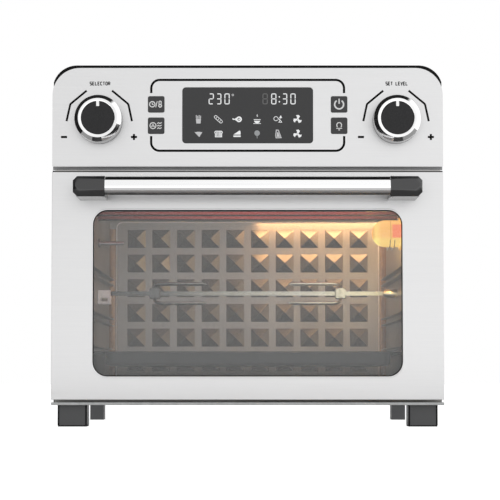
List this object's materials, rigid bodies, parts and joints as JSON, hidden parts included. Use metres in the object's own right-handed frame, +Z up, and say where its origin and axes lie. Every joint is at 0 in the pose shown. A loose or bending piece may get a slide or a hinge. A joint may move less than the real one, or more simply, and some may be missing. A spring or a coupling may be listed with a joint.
{
  "type": "toaster oven",
  "caption": "Countertop toaster oven with a drop-down glass door, bar handle, control panel with display, knobs and buttons, rotisserie spit, drip pan and fan.",
  "frame": {"origin": "on the worktop, under the middle of the overall box", "axes": "+X to the right seen from the front, -Y out of the door towards the user, +Z up"},
  "size_m": [0.4, 0.4, 0.37],
  "materials": {
    "steel_brushed": "fine horizontal brushing",
    "case_paint": "satin black powder coat",
    "galvanised": "zinc-coated sheet",
    "cavity_steel": "satin aluminised sheet",
    "trim_black": "gloss",
    "display_glass": "smoked, gloss",
    "circuit_board": "solder mask",
    "plated_steel": "satin nickel plate",
    "element_hot": "glowing sheath",
    "element_cold": "oxidised sheath",
    "ceramic": "glazed ceramic",
    "enamel": "gloss black enamel",
    "bulb_glass": "clear",
    "lamp_glass": "clear, warm",
    "door_glass": "clear tempered",
    "polished_steel": "polished",
    "aluminium": "plain",
    "motor_steel": "lacquered",
    "plastic_dark": "fine texture",
    "plastic_black": "satin",
    "bracket_plastic": "satin",
    "button_plastic": "satin",
    "knob_metal": "satin plated",
    "knob_cap": "satin",
    "screw_zinc": "zinc"
  },
  "bodies": {
    "oven": {"outer_wrap": "case_paint", "rear_panel": "case_paint", "base_plate": "galvanised", "front_frame": "cavity_steel", "control_fascia": "steel_brushed", "fascia_trim": "trim_black", "display_lens": "display_glass", "control_board": "circuit_board", "encoder_bodies": "motor_steel", "power_board": "circuit_board", "heat_shield": "galvanised", "cavity_floor": "cavity_steel", "cavity_ceiling": "cavity_steel", "cavity_left_wall": "cavity_steel", "cavity_right_wall": "cavity_steel", "cavity_back_wall": "cavity_steel", "rack_rails": "plated_steel", "upper_heaters": "element_hot", "lower_heaters": "element_cold", "heater_insulators": "ceramic", "drip_pan": "enamel", "lamp_housing": "ceramic", "lamp_bulb": "bulb_glass", "lamp_lens": "lamp_glass", "rotisserie_support": "plated_steel", "rotisserie_motor": "motor_steel", "fan_housing": "galvanised", "fan_motor": "motor_steel", "temperature_probe": "plated_steel", "thermal_cutout": "ceramic", "hinge_brackets": "galvanised", "hinge_springs": "plated_steel", "front_feet": "plastic_dark", "rear_feet": "plastic_dark", "cord_gland": "plastic_black", "rear_spacers": "plastic_black", "case_screws": "screw_zinc"},
    "door": {"door_skin": "steel_brushed", "door_glass": "door_glass", "door_inner_frame": "cavity_steel", "door_arms": "plated_steel", "hinge_pins": "plated_steel", "handle_bar": "polished_steel", "handle_brackets": "bracket_plastic", "handle_screws": "screw_zinc"},
    "left_knob": {"knob_left_skirt": "knob_metal", "knob_left_face": "knob_cap"},
    "right_knob": {"knob_right_skirt": "knob_metal", "knob_right_face": "knob_cap"},
    "time_temp_button": {"button_time_temp": "button_plastic"},
    "fan_mode_button": {"button_fan_mode": "button_plastic"},
    "power_button": {"button_power": "button_plastic"},
    "light_button": {"button_light": "button_plastic"},
    "spit": {"spit_rod": "polished_steel", "spit_forks": "polished_steel", "fork_screws": "plated_steel", "drive_socket": "plated_steel"},
    "fan": {"convection_fan": "aluminium", "cooling_fan": "plastic_black", "fan_shaft": "plated_steel"}
  },
  "joints": [
    {"name": "door_hinge", "type": "hinge", "parent": "oven", "child": "door", "pos_m": [0, -0.151, 0.0395], "axis": [1, 0, 0], "range_deg": [0, 85], "stiffness_Nm_per_rad": 0.5, "springref_deg": -45.84},
    {"name": "left_knob_turn", "type": "hinge", "parent": "oven", "child": "left_knob", "pos_m": [-0.152, -0.16, 0.313], "axis": [0, -1, 0], "continuous": true},
    {"name": "right_knob_turn", "type": "hinge", "parent": "oven", "child": "right_knob", "pos_m": [0.152, -0.16, 0.313], "axis": [0, -1, 0], "continuous": true},
    {"name": "time_temp_press", "type": "slide", "parent": "oven", "child": "time_temp_button", "axis": [0, 1, 0], "range_m": [0, 0.001], "stiffness_N_per_m": 1200, "springref_m": -0.0005},
    {"name": "fan_mode_press", "type": "slide", "parent": "oven", "child": "fan_mode_button", "axis": [0, 1, 0], "range_m": [0, 0.001], "stiffness_N_per_m": 1200, "springref_m": -0.0005},
    {"name": "power_press", "type": "slide", "parent": "oven", "child": "power_button", "axis": [0, 1, 0], "range_m": [0, 0.001], "stiffness_N_per_m": 1200, "springref_m": -0.0005},
    {"name": "light_press", "type": "slide", "parent": "oven", "child": "light_button", "axis": [0, 1, 0], "range_m": [0, 0.001], "stiffness_N_per_m": 1200, "springref_m": -0.0005},
    {"name": "spit_turn", "type": "hinge", "parent": "oven", "child": "spit", "pos_m": [0, 0.005, 0.143], "axis": [1, 0, 0], "continuous": true},
    {"name": "fan_turn", "type": "hinge", "parent": "oven", "child": "fan", "pos_m": [0, 0.015, 0.25], "axis": [0, 0, 1], "continuous": true}
  ]
}
